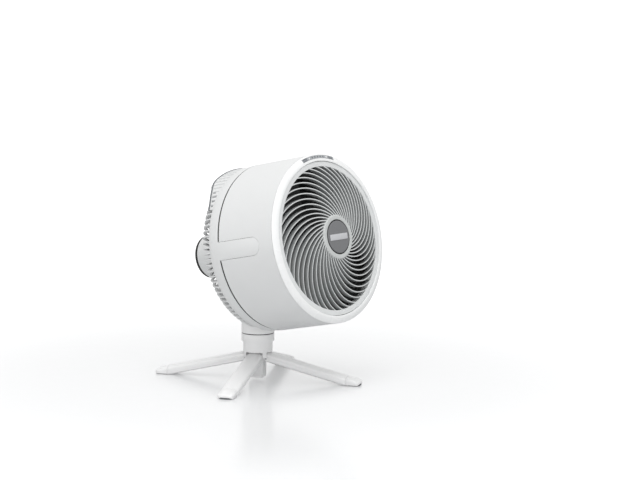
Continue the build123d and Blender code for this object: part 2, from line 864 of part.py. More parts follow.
# ---------------------------------------------------------------- post
def make_post_shell():
    """Round post casing with a wider collar and four notches over the legs."""
    inner = post_radius - post_wall
    collar = ring(neck_radius, inner, collar_bottom, collar_top)
    tube = ring(post_radius, inner, tongue_bottom, collar_bottom)
    depth = post_bottom - tongue_bottom
    shell = collar + tube
    for index in range(leg_count):
        notch = Pos(post_radius, 0, tongue_bottom - 1) * extrude(
            Rectangle(2 * post_radius, leg_width + 2 * notch_gap), depth + 1)
        shell -= Rot(0, 0, leg_angle(index)) * notch
    return shell


def leg_angle(index):
    """Direction of one leg seen from above."""
    return stand_turn + 360.0 / leg_count * index


def hinge_places(index):
    """Place of a leg drawn along +X."""
    return Rot(0, 0, leg_angle(index))


def make_post_core():
    """Square core with a round head in the post and a pair of lugs for each leg."""
    side = 2 * core_half
    column = Pos(0, 0, core_bottom) * extrude(
        chamfer(Rectangle(side, side).vertices(), core_corner), post_bottom - core_bottom)
    head = disc(post_radius - post_wall - seat, post_bottom, collar_top - spindle_flange)
    core = column + head
    core = Rot(0, 0, leg_angle(0)) * core
    middle = knuckle_width / 2 + slip + lug_thickness / 2
    for index in range(leg_count):
        for sign in (-1, 1):
            core += hinge_places(index) * Pos(0, sign * middle, 0) * lug()
    for index in range(leg_count):
        core -= hinge_places(index) * hinge_rod(hinge_pin_radius + seat,
                                                knuckle_width + beyond)
    core -= disc(spindle_bore, core_bottom + core_floor, collar_top)
    return core


def side_plane():
    """Upright plane through a leg drawn along +X."""
    return Plane(origin=(0, 0, 0), x_dir=(1, 0, 0), z_dir=(0, -1, 0))


def hinge_rod(radius, length):
    """A round bar along the hinge of a leg drawn along +X."""
    return extrude(side_plane() * Pos(hinge_radius, hinge_height) * Circle(radius),
                   length / 2, both=True)


def lug():
    """One ear of the core that holds a hinge pin."""
    start = core_half - 1
    outline = Polyline(
        (start, hinge_height - lug_radius),
        (hinge_radius + lug_radius / 2, hinge_height - lug_radius),
        (hinge_radius + lug_radius, hinge_height - lug_radius / 2),
        (hinge_radius + lug_radius, hinge_height + lug_radius / 2),
        (hinge_radius + lug_radius / 2, hinge_height + lug_radius),
        (start, hinge_height + lug_radius), close=True)
    return extrude(side_plane() * make_face(outline), lug_thickness / 2, both=True)


def make_hinge_pins():
    """The four leg hinge pins."""
    length = knuckle_width + 2 * (slip + lug_thickness)
    pins = [hinge_places(index) * hinge_rod(hinge_pin_radius, length)
            for index in range(leg_count)]
    return Compound(children=pins)


def make_core_cap():
    """Cap that closes the core's lower end."""
    side = 2 * core_half
    plate = Pos(0, 0, core_bottom - core_cap_thickness) * extrude(
        chamfer(Rectangle(side, side).vertices(), core_corner), core_cap_thickness)
    return Rot(0, 0, leg_angle(0)) * plate


def make_spindle():
    """Fixed hollow spindle on top of the post that the neck turns on."""
    low = collar_top - spindle_flange
    top = gear_low + gear_thickness + clip_gap + clip_thickness + spindle_end
    flange = disc(post_radius - post_wall - seat, low, collar_top)
    tube = disc(spindle_radius, collar_top, top)
    return flange + tube - disc(spindle_bore, low - 1, top + 1)


def make_spindle_clip():
    """Ring that keeps the neck and the gear on the spindle."""
    low = gear_low + gear_thickness + clip_gap
    return ring(spindle_radius + clip_width, spindle_radius + seat, low, low + clip_thickness)


# ---------------------------------------------------------------- legs
def leg_section(inset=0.0):
    """Cross-section of a folded leg: round outside, narrow towards the core."""
    outer = leg_outer - inset
    half = leg_width / 2 - inset
    inner = leg_outer - leg_thickness + inset
    slant = leg_split_gap / 2 * sqrt(2) + inset * 0.4
    knee = half + slant
    edge_x = sqrt(outer**2 - half**2)
    low = inner - slant
    edge = [
        Line((inner, -low), (inner, low)), Line((inner, low), (knee, half)),
        Line((knee, half), (edge_x, half)),
        ThreePointArc((edge_x, half), (outer, 0), (edge_x, -half)),
        Line((edge_x, -half), (knee, -half)), Line((knee, -half), (inner, -low)),
    ]
    face = make_face(edge)
    corners = [v for v in face.vertices() if abs(v.X - edge_x) < 0.01]
    return chamfer(corners, leg_corner)


def leg_prism(inset=0.0):
    """A leg's bar, opened out from the folded position about its hinge."""
    length = leg_reach + beyond
    bar = Pos(0, 0, hinge_height - length) * extrude(leg_section(inset), length)
    to_hinge = Pos(-hinge_radius, 0, -hinge_height)
    back = Pos(hinge_radius, 0, hinge_height)
    return back * Rot(0, -fold_angle, 0) * to_hinge * bar


def leg_envelope(bottom):
    """Block that trims the toe: level underneath, blunt in front."""
    top = hinge_height + 2 * beyond
    tip = leg_reach
    side = make_face(Polyline(
        (0, bottom), (tip - 3, bottom), (tip - 0.8, bottom + 2.0), (tip - 1.2, bottom + 4.5),
        (tip - 10, bottom + 10.6), (tip - 14, top), (0, top), close=True))
    block = extrude(side_plane() * side, leg_width, both=True)
    plan = Pos(tip / 2, 0) * RectangleRounded(tip, leg_width, toe_corner)
    return block & extrude(plan, top)


def make_leg(index):
    """Leg casing with a knuckle between the core's lugs."""
    body = leg_prism() & leg_envelope(toe_clearance)
    body = body & (Pos(leg_seam / 2, 0, 0) * Box(leg_seam, 2 * leg_width, 3 * hinge_height))
    knuckle = hinge_rod(lug_radius - seat, knuckle_width)
    body += knuckle
    lug_corner = lug_radius * sqrt(2)
    relief = hinge_rod(lug_corner + 2 * slip, knuckle_width + 2 * lug_thickness + 6 * slip)
    relief -= hinge_rod(lug_corner + 4 * slip, knuckle_width)
    body -= relief
    body -= hinge_rod(hinge_pin_radius + shaft_clearance, leg_width * 2)
    return hinge_places(index) * body


def make_toe(index):
    """Toe cap with a small neck behind it that shows as a seam, and a seat for its pad."""
    whole = leg_prism() & leg_envelope(toe_clearance)
    cap_start = leg_seam + toe_seam
    reach = leg_reach - cap_start + beyond
    cap = whole & (Pos(cap_start + reach / 2, 0, 0) * Box(reach, 2 * leg_width, 100))
    neck_low = toe_clearance + 1
    neck_top = toe_clearance + pad_thickness + 3
    neck = Pos(leg_seam + (toe_seam + 1) / 2, 0, (neck_low + neck_top) / 2) * Box(
        toe_seam + 1, toe_neck, neck_top - neck_low)
    return hinge_places(index) * (cap + neck - pad_block(seat))


def pad_block(gap=0.0):
    """Rubber pad under a toe, or with a gap its seat."""
    middle = leg_seam + toe_clearance + pad_length / 2
    outline = Rectangle(pad_length + 2 * gap, pad_width + 2 * gap)
    outline = chamfer(outline.vertices(), pad_corner)
    return Pos(middle, 0, 0) * extrude(outline, pad_thickness)


def make_pad(index):
    """Rubber pad that the leg stands on."""
    return hinge_places(index) * pad_block()


# ---------------------------------------------------------------- build
def build_head():
    """Write every piece that is drawn in the head's coordinates."""
    save(in_head(make_drum()), "drum_shell")
    save(in_head(make_bezel()), "front_bezel")
    save(in_head(make_duct()), "air_duct")
    save(in_head(make_front_grille()), "front_grille")
    save(in_head(make_badge()), "centre_badge")
    save(in_head(make_badge_plate()), "badge_plate")
    save(in_head(make_panel()), "control_panel")
    save(in_head(make_lights()), "speed_lights")
    for name, angle, kind in button_places():
        cap = button_shape(kind, angle, 0, button_proud - button_height, button_proud)
        save(in_head(cap), name)
    save(in_head(make_rear_ring()), "rear_ring")
    save(in_head(make_rear_grille()), "rear_grille")
    save(in_head(make_tilt_bracket()), "tilt_bracket")
    save(in_head(make_carry_handle()), "carry_handle")
    save(in_head(make_motor_housing()), "motor_housing")
    save(in_head(make_end_cap()), "housing_end_cap")
    save(in_head(make_motor_mount()), "motor_mount")
    save(in_head(make_motor()), "motor")
    save(in_head(make_battery()), "battery_pack")
    save(in_head(make_board()), "control_board")
    save(in_head(make_blades()), "fan_blades")
    save(in_head(make_shaft()), "motor_shaft")
    save(in_head(make_blade_nut()), "blade_nut")


def build_stand():
    """Write the neck, the post and the legs."""
    save(make_neck(), "neck_shell")
    save(make_tilt_pin(), "tilt_pin")
    save(make_swing_motor(), "swing_motor")
    save(make_swing_pinion(), "swing_pinion")
    save(make_swing_gear(), "swing_gear")
    save(make_spindle(), "pan_spindle")
    save(make_spindle_clip(), "spindle_clip")
    save(make_post_shell(), "post_shell")
    save(make_post_core(), "post_core")
    save(make_core_cap(), "core_cap")
    save(make_hinge_pins(), "leg_hinge_pins")
    for index in range(leg_count):
        number = str(index + 1)
        save(make_leg(index), "leg_" + number)
        save(make_toe(index), "toe_cap_" + number)
        save(make_pad(index), "foot_pad_" + number)


os.makedirs("parts", exist_ok=True)
build_head()
build_stand()
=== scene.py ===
# %% [markdown]
# # A drum fan on folding legs
#
# This lesson dresses an air circulator fan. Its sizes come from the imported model, which
# is loaded first and never changed. Each step says what the piece is on the real fan, how
# it could be made, and why one way was picked.

# %% Load the fixed model
import bpy
import bmesh
from math import acos, asin, atan2, cos, degrees, pi, radians, sin, sqrt
from mathutils import Matrix, Vector


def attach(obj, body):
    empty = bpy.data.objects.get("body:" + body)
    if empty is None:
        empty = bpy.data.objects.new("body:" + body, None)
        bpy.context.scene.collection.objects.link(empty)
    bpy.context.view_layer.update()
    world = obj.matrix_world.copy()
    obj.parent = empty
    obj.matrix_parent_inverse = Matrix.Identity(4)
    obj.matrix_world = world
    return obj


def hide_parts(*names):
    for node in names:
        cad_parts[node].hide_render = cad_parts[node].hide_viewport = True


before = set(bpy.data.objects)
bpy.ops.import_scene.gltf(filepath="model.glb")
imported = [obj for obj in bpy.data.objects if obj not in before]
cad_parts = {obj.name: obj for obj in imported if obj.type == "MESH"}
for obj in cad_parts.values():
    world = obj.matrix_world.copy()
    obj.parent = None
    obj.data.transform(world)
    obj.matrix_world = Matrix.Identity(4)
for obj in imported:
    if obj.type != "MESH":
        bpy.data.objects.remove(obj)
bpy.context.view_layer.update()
mm = 0.001

# %% [markdown]
# ## Where the head is
#
# The head is a drum that looks up by 12 degrees. Its casings are round, so they are drawn
# about a vertical axis, with their front at zero, and one matrix carries each finished mesh
# to its place. That keeps every outline readable as radius and height.

# %% The head's own axes
tilt = radians(12)
forward = Vector((0, -cos(tilt), sin(tilt)))
upward = Vector((0, sin(tilt), cos(tilt)))
pivot_height, rim_reach, rim_lift = 114, 194.2, 124.2
pivot = Vector((0, 0, pivot_height)) * mm
rim = pivot + forward * rim_reach * mm + upward * rim_lift * mm
head_place = Matrix((
    (1, 0, 0, rim.x),
    (0, upward.y, forward.y, rim.y),
    (0, upward.z, forward.z, rim.z),
    (0, 0, 0, 1),
))
print("rim centre", [round(v, 4) for v in rim])

# %% The casing's sizes, in millimetres
drum_radius = 152.0
bezel_inner = 138.5
ring_rear = -149.2
rear_edge = ring_rear - 36.0
rear_face = rear_edge - 12.0
print("drum across", 2 * drum_radius, "mm, rear face at", rear_face)

# %% [markdown]
# ## Small helpers for materials
#
# Each material is a node tree on Object coordinates, so its pattern keeps its real size in
# metres. One function turns a hex colour to linear, and one adds a node with its settings
# and links.


# %% Colour and node helpers
def linear(hex_text):
    """An sRGB hex colour as linear RGBA."""
    parts = [int(hex_text[i:i + 2], 16) / 255 for i in (1, 3, 5)]
    return tuple(v / 12.92 if v <= 0.04045 else ((v + 0.055) / 1.055) ** 2.4
                 for v in parts) + (1.0,)


def add(tree, kind, settings=None, **links):
    """A node of a kind, with attributes set and its inputs set or linked by name."""
    node = tree.nodes.new(kind)
    for key, value in (settings or {}).items():
        setattr(node, key, value)
    for key, value in links.items():
        name = key.replace("_", " ")
        socket = next(s for s in node.inputs if s.name == name and s.enabled)
        if isinstance(value, bpy.types.NodeSocket):
            tree.links.new(value, socket)
        else:
            socket.default_value = value
    return node


def new_material(name):
    """An empty node material with its output, and Object coordinates to start from."""
    material = bpy.data.materials.new(name)
    material.use_nodes = True
    tree = material.node_tree
    tree.nodes.clear()
    output = tree.nodes.new("ShaderNodeOutputMaterial")
    place = add(tree, "ShaderNodeTexCoord").outputs["Object"]
    return material, tree, output, place


# %% [markdown]
# ## Moulded plastic
#
# Nearly all of the fan is injection-moulded ABS. The mould is spark-eroded, which leaves a
# grain about 0.35 mm across, so highlights are broad and soft. A slower noise varies the
# roughness, as flow marks and handling do, and the colour by a very small amount.

# %% A moulded plastic finish
flow_mark = 60 * mm
tone_change = 0.02
grain_height = 0.05 * mm
# Nearly all of a noise lies between these two values.
noise_low, noise_high = 0.3, 0.7


def moulded(name, colour, low, high, grain=0.35, bump=0.04, coat=0.0, metallic=0.0,
            painted_highlight=None):
    """ABS with an eroded grain, in millimetres, and slow changes of tone and roughness.

    Low and high bound the roughness. A painted highlight colour is for faces that look
    along the head's axis, a lighter colour that paints on them the light falling on the
    front.
    """
    material, tree, output, place = new_material(name)
    fine = add(tree, "ShaderNodeTexNoise", Vector=place, Scale=1 / (grain * mm), Detail=2.0)
    slow = add(tree, "ShaderNodeTexNoise", Vector=place, Scale=1 / flow_mark, Detail=3.0)
    rough = add(tree, "ShaderNodeMapRange", Value=slow.outputs["Fac"],
                From_Min=noise_low, From_Max=noise_high, To_Min=low, To_Max=high)
    shade = add(tree, "ShaderNodeMapRange", Value=slow.outputs["Fac"],
                From_Min=noise_low, From_Max=noise_high, To_Min=1 - tone_change,
                To_Max=1.0)
    tint = add(tree, "ShaderNodeHueSaturation", Color=linear(colour),
               Value=shade.outputs["Result"])
    relief = add(tree, "ShaderNodeBump", Height=fine.outputs["Fac"],
                 Strength=bump, Distance=grain_height)
    shown = tint.outputs["Color"]
    # Faces that look along the head's axis get a lighter colour: a painted highlight.
    if painted_highlight:
        facing = add(tree, "ShaderNodeVectorMath", {"operation": "DOT_PRODUCT"})
        tree.links.new(add(tree, "ShaderNodeTexCoord").outputs["Normal"], facing.inputs[0])
        facing.inputs[1].default_value = forward
        share = add(tree, "ShaderNodeMapRange", Value=facing.outputs["Value"],
                    From_Min=0.6, From_Max=0.95)
        shown = add(tree, "ShaderNodeMix", {"data_type": "RGBA"},
                    Factor=share.outputs["Result"], A=shown, B=linear(painted_highlight)).outputs[2]
    shader = add(tree, "ShaderNodeBsdfPrincipled", Base_Color=shown,
                 Roughness=rough.outputs["Result"], Normal=relief.outputs["Normal"])
    shader.inputs["Coat Weight"].default_value = coat
    shader.inputs["Metallic"].default_value = metallic
    tree.links.new(shader.outputs["BSDF"], output.inputs["Surface"])
    return material


# Satin casing: a soft broad highlight. The stand is the same plastic, and its brighter
# white is painted light for the light its faces catch. The bezel's mould was polished a
# little more, and its brighter white is painted light for the light on its face.
white_abs = moulded("white_abs_satin", "#E9EAEA", 0.34, 0.44)
# The stand's brighter white is painted light.
stand_painted_light_abs = moulded("stand_white_abs_painted_light", "#FBFBFB", 0.3, 0.4)
# The bezel's brighter white is painted light.
bezel_painted_light_abs = moulded("white_abs_polished_painted_light", "#FCFDFD", 0.24, 0.32, bump=0.02)
# The vanes are silver-grey with a little metal flake. Their front edges get a painted
# highlight, a lighter colour for the light that falls on them, above darker sides. Their
# frame is nearly white.
silver_abs_painted_highlight = moulded("silver_grey_abs_painted_highlight", "#AEB1B1", 0.28, 0.38, metallic=0.3,
                     painted_highlight="#DCDEDE")
frame_abs = moulded("pale_frame_abs", "#E6E8E8", 0.3, 0.4)
pale_ring_abs = moulded("pale_grey_abs", "#CDD0CF", 0.34, 0.42)
# Nearly black inner pieces have a dull grain. Their near-black is partly their own dark
# plastic and partly painted shade, which keeps the drum's inside dark; the same material
# is painted shade in the seam, the neck's joint and the badge's gap.
dark_and_painted_shade_abs = moulded("near_black_and_painted_shade_abs", "#08090A", 0.5, 0.65)
# The handle's rim is dark grey as painted shade on the hood's rear edge, and the floor
# between the ribs on its hood is a paler grey, painted shade in the gaps.
rim_painted_shade_abs = moulded("grey_rim_painted_shade_abs", "#6C6F72", 0.4, 0.5)
gap_painted_shade_abs = moulded("grey_gap_painted_shade_abs", "#A2A4A6", 0.5, 0.6)
badge_abs = moulded("mid_grey_abs", "#77787A", 0.35, 0.45)
badge_bar_abs = moulded("light_grey_polished_abs", "#CACBCE", 0.22, 0.3)
# The control strip is smooth and smoky, with darker keys and windows in it.
panel_abs = moulded("smoky_grey_panel", "#A4A7AA", 0.16, 0.24, bump=0.01, coat=0.3)
key_abs = moulded("dark_grey_key", "#7C8085", 0.2, 0.3, bump=0.01)
print("plastics", len(bpy.data.materials))

# %% [markdown]
# ## Steel, nylon, rubber and the rest
#
# Pins and the shaft are ground steel with fine scratches across them. Nylon gears are
# creamy. The foot pads are soft rubber, matt and grey. The blue shrink sleeve holds the
# cells together, and a circuit board is green under its lacquer.


# %% Steel, and the other finishes
def ground_steel(name, colour, roughness):
    """Ground steel with fine scratches, pressed close along one axis."""
    material, tree, output, place = new_material(name)
    stretch = add(tree, "ShaderNodeMapping", Vector=place)
    stretch.inputs["Scale"].default_value = (1, 1, 12)
    lines = add(tree, "ShaderNodeTexNoise", Vector=stretch.outputs["Vector"],
                Scale=1 / (1.2 * mm), Detail=4.0)
    rough = add(tree, "ShaderNodeMapRange", Value=lines.outputs["Fac"],
                From_Min=noise_low, From_Max=noise_high, To_Min=roughness * 0.8,
                To_Max=roughness * 1.3)
    relief = add(tree, "ShaderNodeBump", Height=lines.outputs["Fac"], Strength=0.05,
                 Distance=0.02 * mm)
    shader = add(tree, "ShaderNodeBsdfPrincipled", Roughness=rough.outputs["Result"],
                 Normal=relief.outputs["Normal"])
    shader.inputs["Base Color"].default_value = linear(colour)
    shader.inputs["Metallic"].default_value = 1.0
    tree.links.new(shader.outputs["BSDF"], output.inputs["Surface"])
    return material


steel = ground_steel("ground_steel", "#C9CACC", 0.28)
motor_can = ground_steel("zinc_plated_can", "#9EA1A6", 0.4)
nylon = moulded("natural_nylon", "#E6E0CE", 0.4, 0.5, bump=0.02)
rubber = moulded("grey_rubber", "#6E7072", 0.65, 0.85, grain=0.6, bump=0.15)
window = moulded("smoked_window", "#5A5F66", 0.08, 0.14, bump=0.0, coat=0.5)
dot_abs = moulded("white_dot_abs", "#F2F3F4", 0.3, 0.4)
shrink_sleeve = moulded("blue_shrink_sleeve", "#2E4A80", 0.25, 0.35, bump=0.02)
board_green = moulded("green_board", "#1E5A36", 0.3, 0.4, bump=0.02)
print("materials", len(bpy.data.materials))

# %% [markdown]
# ## Give each carried-over piece its material
#
# Small and inner pieces keep their solid from the model and only need a finish. One table
# pairs every node with a material, also the nodes that a finished piece will replace, so
# that no solid is ever left bare.

# %% A material for every node
leg_numbers = (1, 2, 3, 4)
finishes = {
    white_abs: ["drum_shell", "rear_ring", "rear_grille", "tilt_bracket", "carry_handle",
                "motor_housing"],
    stand_painted_light_abs: ["neck_shell", "post_shell", "post_core", "core_cap"]
    + ["leg_%d" % k for k in leg_numbers] + ["toe_cap_%d" % k for k in leg_numbers],
    bezel_painted_light_abs: ["front_bezel"],
    silver_abs_painted_highlight: ["front_grille"],
    # Near-black inner pieces: partly their own colour, partly painted shade.
    dark_and_painted_shade_abs: ["air_duct", "housing_end_cap", "motor_mount", "fan_blades", "blade_nut"],
    badge_abs: ["centre_badge"],
    badge_bar_abs: ["badge_plate"],
    panel_abs: ["control_panel"],
    key_abs: ["power_button", "swing_button"],
    dot_abs: ["minus_button", "plus_button"],
    window: ["speed_lights"],
    steel: ["leg_hinge_pins", "spindle_clip", "tilt_pin", "motor_shaft"],
    motor_can: ["motor", "swing_motor"],
    nylon: ["pan_spindle", "swing_gear", "swing_pinion"],
    rubber: ["foot_pad_%d" % k for k in leg_numbers],
    shrink_sleeve: ["battery_pack"],
    board_green: ["control_board"],
}
for material, names in finishes.items():
    for name in names:
        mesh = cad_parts[name].data
        mesh.materials.clear()
        mesh.materials.append(material)
print("finished nodes", sum(len(names) for names in finishes.values()))

# %% [markdown]
# ## Soft edges on the casings
#
# A moulded edge always has a small radius, and it is what catches the light. The legs, the
# post, the neck and the head's larger casings get one. The solid of each is copied, its
# loose triangles are joined, flat areas are merged, and a bevel rounds what is sharper than
# 30 degrees. The copy then stands for the solid. Drawing them again would risk their sizes.


# %% Helpers for every finished piece
def finish_mesh(obj):
    """Smooth faces, sharp above 35 degrees."""
    obj.data.polygons.foreach_set("use_smooth", [True] * len(obj.data.polygons))
    obj.data.set_sharp_from_angle(angle=radians(35))


def link(name, mesh, material):
    """A new object for a mesh, with one material."""
    obj = bpy.data.objects.new(name, mesh)
    bpy.context.scene.collection.objects.link(obj)
    mesh.materials.clear()
    mesh.materials.append(material)
    return obj


def applied(obj):
    """The object with its modifiers made part of its mesh."""
    bpy.context.view_layer.update()
    graph = bpy.context.evaluated_depsgraph_get()
    mesh = bpy.data.meshes.new_from_object(obj.evaluated_get(graph))
    obj.modifiers.clear()
    obj.data = mesh
    return obj


def closed_mesh(name, edit, place):
    """A closed mesh from an edit, with its faces outwards, moved to its place."""
    bmesh.ops.recalc_face_normals(edit, faces=edit.faces)
    mesh = bpy.data.meshes.new(name)
    edit.to_mesh(mesh)
    edit.free()
    mesh.transform(place)
    return mesh


# %% A copy of a node with rounded edges
def softened(node, body, material, width):
    """A copy of a CAD node with its edges rounded by a width in millimetres."""
    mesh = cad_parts[node].data.copy()
    edit = bmesh.new()
    edit.from_mesh(mesh)
    bmesh.ops.remove_doubles(edit, verts=edit.verts, dist=0.002 * mm)
    bmesh.ops.dissolve_limit(edit, angle_limit=radians(0.5), verts=edit.verts,
                             edges=edit.edges)
    edit.to_mesh(mesh)
    edit.free()
    obj = link(node + "_finished", mesh, material)
    bevel = obj.modifiers.new("soft edge", "BEVEL")
    bevel.width = width * mm
    bevel.segments = 2
    bevel.limit_method = "ANGLE"
    bevel.angle_limit = radians(30)
    bevel.use_clamp_overlap = True
    applied(obj)
    finish_mesh(obj)
    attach(obj, body)
    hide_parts(node)
    return obj


# %% The softened casings, with each edge's width in millimetres
casings = [
    ("tilt_bracket", "head", white_abs, 1.0), ("carry_handle", "head", white_abs, 0.8),
    ("neck_shell", "neck", stand_painted_light_abs, 0.8), ("post_shell", "stand", stand_painted_light_abs, 0.6),
    ("post_core", "stand", stand_painted_light_abs, 0.5), ("core_cap", "stand", stand_painted_light_abs, 0.6),
    ("drum_shell", "head", white_abs, 0.5), ("rear_ring", "head", white_abs, 0.5),
    ("housing_end_cap", "head", dark_and_painted_shade_abs, 0.8), ("fan_blades", "rotor", dark_and_painted_shade_abs, 0.5),
]
for number in leg_numbers:
    leg_body = "leg_%d" % number
    casings.append(("leg_%d" % number, leg_body, stand_painted_light_abs, 0.6))
    casings.append(("toe_cap_%d" % number, leg_body, stand_painted_light_abs, 0.6))
pieces = {}
for node, body, material, width in casings:
    pieces[node] = softened(node, body, material, width)
    print(pieces[node].name, len(pieces[node].data.polygons))

# %% [markdown]
# ## Round casings of the head
#
# The bezel, the grille's rings and the housing are bodies of revolution. Turning an outline
# in 256 steps gives a truer curve than a copied solid, and a corner of the outline is
# rounded before it is turned, so that every edge has its radius.


# %% Turn an outline about an axis
def rounded(outline, radius):
    """The outline, in millimetres, with its corners cut by short curves."""
    steps = 3
    result = []
    count = len(outline)
    for index, corner in enumerate(outline):
        corner = Vector(corner)
        before = Vector(outline[index - 1]) - corner
        after = Vector(outline[(index + 1) % count]) - corner
        if corner.x < 0.01 or before.angle(after) > radians(165):
            result.append(corner)
            continue
        cut = min(radius, before.length * 0.45, after.length * 0.45)
        start = corner + before.normalized() * cut
        end = corner + after.normalized() * cut
        for k in range(steps + 1):
            t = k / steps
            result.append(start * (1 - t) ** 2 + corner * 2 * t * (1 - t) + end * t ** 2)
    return result


def turned(name, outline, material, radius=0.6, steps=256, place=head_place, body="head"):
    """A closed solid of revolution from an outline of (radius, height), in millimetres."""
    points = rounded(outline, radius)
    edit = bmesh.new()
    rows = []
    for k in range(steps):
        angle = 2 * pi * k / steps
        rows.append([edit.verts.new((p.x * cos(angle) * mm, p.x * sin(angle) * mm,
                                     p.y * mm)) for p in points])
    count = len(points)
    for k in range(steps):
        one, two = rows[k], rows[(k + 1) % steps]
        for i in range(count):
            j = (i + 1) % count
            edit.faces.new((one[i], one[j], two[j], two[i]))
    bmesh.ops.remove_doubles(edit, verts=edit.verts, dist=0.001 * mm)
    bmesh.ops.dissolve_degenerate(edit, edges=edit.edges, dist=0.001 * mm)
    obj = link(name, closed_mesh(name, edit, place), material)
    finish_mesh(obj)
    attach(obj, body)
    return obj


def square_outline(inner, outer, low, high):
    """The four corners of a ring's square section."""
    return [(inner, low), (outer, low), (outer, high), (inner, high)]


# %% [markdown]
# ## The motor housing
#
# Behind the ribs the housing narrows to a dark round plate. A real one is a moulded cone
# with a short straight mouth. It is turned from its outline, which keeps its wall even.

# %% Housing
housing_front, housing_rear = rear_face + 9, -284.5
mouth_outer, mouth_inner, end_outer, end_inner = 58.0, 55.5, 39.5, 37.0
housing = turned("housing_cone", [
    (mouth_outer, housing_front), (mouth_outer, rear_face - 8), (end_outer, housing_rear),
    (end_inner, housing_rear), (end_inner, rear_face - 12), (mouth_inner, rear_face - 12),
    (mouth_inner, housing_front),
], white_abs, 0.8)
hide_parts("motor_housing")
print("housing from", housing_front, "to", housing_rear)

# %% [markdown]
# ## Cutting a slot out of a round piece
#
# The bezel has a curved slot for the control strip, and the rear ribs leave room for the
# handle. Both are a sector of a ring. The sector is built from an outline whose points also
# say how far it reaches to each side, and a boolean takes it out. The boolean leaves uneven
# shading on a cylinder, so the exact normals are then set again.


# %% Blocks that are taken out
def sector(outline, middle, steps=24):
    """A block round the axis from (radius, height, half angle) points, in degrees."""
    edit = bmesh.new()
    rows = []
    for k in range(steps + 1):
        share = 2 * k / steps - 1
        row = []
        for radius, height, half in outline:
            angle = radians(middle + share * half)
            row.append(edit.verts.new((radius * cos(angle) * mm, radius * sin(angle) * mm,
                                       height * mm)))
        rows.append(row)
    count = len(outline)
    for one, two in zip(rows, rows[1:]):
        for i in range(count):
            j = (i + 1) % count
            edit.faces.new((one[i], one[j], two[j], two[i]))
    edit.faces.new(rows[0])
    edit.faces.new(rows[-1])
    return edit


def box_block(low, high):
    """A box between two corners, in the head's millimetres."""
    edit = bmesh.new()
    bmesh.ops.create_cube(edit, size=1)
    size = Vector(high) - Vector(low)
    middle = (Vector(high) + Vector(low)) / 2
    edit.transform(Matrix.Translation(middle * mm) @ Matrix.Diagonal((*(size * mm), 1)))
    return edit


def band(inner, outer, low, high, middle, half, steps=180):
    """A part of a ring with a square section, in millimetres and degrees."""
    corners = square_outline(inner, outer, low, high)
    return sector([(radius, height, half) for radius, height in corners], middle, steps)


# %% The cut and the exact normals
def take_out(obj, block, place=head_place):
    """Take a block, drawn in the head's axes or another place, out of a piece."""
    cutter = bpy.data.objects.new("cutter", closed_mesh("cutter", block, place))
    bpy.context.scene.collection.objects.link(cutter)
    boolean = obj.modifiers.new("cut", "BOOLEAN")
    boolean.operation = "DIFFERENCE"
    boolean.solver = "EXACT"
    boolean.object = cutter
    applied(obj)
    bpy.data.objects.remove(cutter)
    finish_mesh(obj)


def true_round(obj, centre, axis):
    """Exact normals for the faces that lie on a cylinder about an axis."""
    mesh = obj.data
    normals = [Vector(corner.vector) for corner in mesh.corner_normals]

    def outwards(spot):
        away = spot - centre
        return (away - axis * away.dot(axis)).normalized()

    for face in mesh.polygons:
        facing = face.normal.dot(outwards(face.center))
        if abs(facing) > 0.995:
            for i in face.loop_indices:
                spot = mesh.vertices[mesh.loops[i].vertex_index].co
                normals[i] = outwards(spot) * (1 if facing > 0 else -1)
    mesh.normals_split_custom_set(normals)


# %% [markdown]
# ## The dark seam
#
# The drum meets the rear band at a dark seam, and a flush tab bridges it on each side. The
# drum's rear edge is cut back a little, and a black liner fills the seam to just under the
# surface: painted shade, where the real gap is dark with shade. Two parts of a ring leave
# the tabs' places free. A fine groove also parts the drum from the bezel.

# %% Seam liner, painted shade
tab_middle, tab_half = 2.4, 6.5
trim_section = (148.4, 154, -126.2, -124.2)
seam_shade_section = (148.5, 151.2, -127.6, -124.25)
for name, seam_middle, seam_half in (
        ("seam_painted_shade_upper", 90.0, 90.0 - tab_middle - tab_half),
        ("seam_painted_shade_lower", 270.0, 90.0 + tab_middle - tab_half)):
    take_out(pieces["drum_shell"], band(*trim_section, seam_middle, seam_half))
    seam = band(*seam_shade_section, seam_middle, seam_half)
    # The liner is painted shade: a near-black sheet where the gap is only dark with shade.
    seam_shade_liner = link(name, closed_mesh(name, seam, head_place), dark_and_painted_shade_abs)
    finish_mesh(seam_shade_liner)
    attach(seam_shade_liner, "head")
    print(name, "covers", round(2 * seam_half, 1), "degrees")

# %% Front groove, in two halves that overlap a little
groove_section = (150.6, 154, -1.5, -0.5)
half_turn = 90.6
for side in (0.0, 180.0):
    take_out(pieces["drum_shell"], band(*groove_section, side, half_turn))
true_round(pieces["drum_shell"], rim, forward)
print("drum polygons", len(pieces["drum_shell"].data.polygons))

# %% [markdown]
# ## The turning joint
#
# The neck turns on the post's collar, and a slip ring lines the joint. A real one is a
# low-friction plastic; its near-black here is painted shade for the joint. The neck's
# lowest edge is cut back to show it as a thin line.

# %% Slip ring, near-black as painted shade
upright = Matrix.Identity(4)
neck_trim = (28.9, 32, 86.8, 88.2)
slip_ring_shade_section = (28.5, 29.6, 86.6, 88.15)
for side in (0.0, 180.0):
    take_out(pieces["neck_shell"], band(*neck_trim, side, half_turn), upright)
true_round(pieces["neck_shell"], Vector((0, 0, 0)), Vector((0, 0, 1)))
# The slip ring's near-black is painted shade for the joint.
turned("slip_ring_painted_shade", square_outline(*slip_ring_shade_section), dark_and_painted_shade_abs, 0.1, 96, upright, "neck")
print("slip ring of", slip_ring_shade_section[1], "mm radius under the neck")

# %% [markdown]
# ## The bezel
#
# The bezel swells from a crest at its inner edge and falls to the drum's corner. A finely
# sampled parabola gives the highlight its even flow, where a few straight runs would show
# as bands. The slot is cut to the strip's depth, with wells under the four keys.

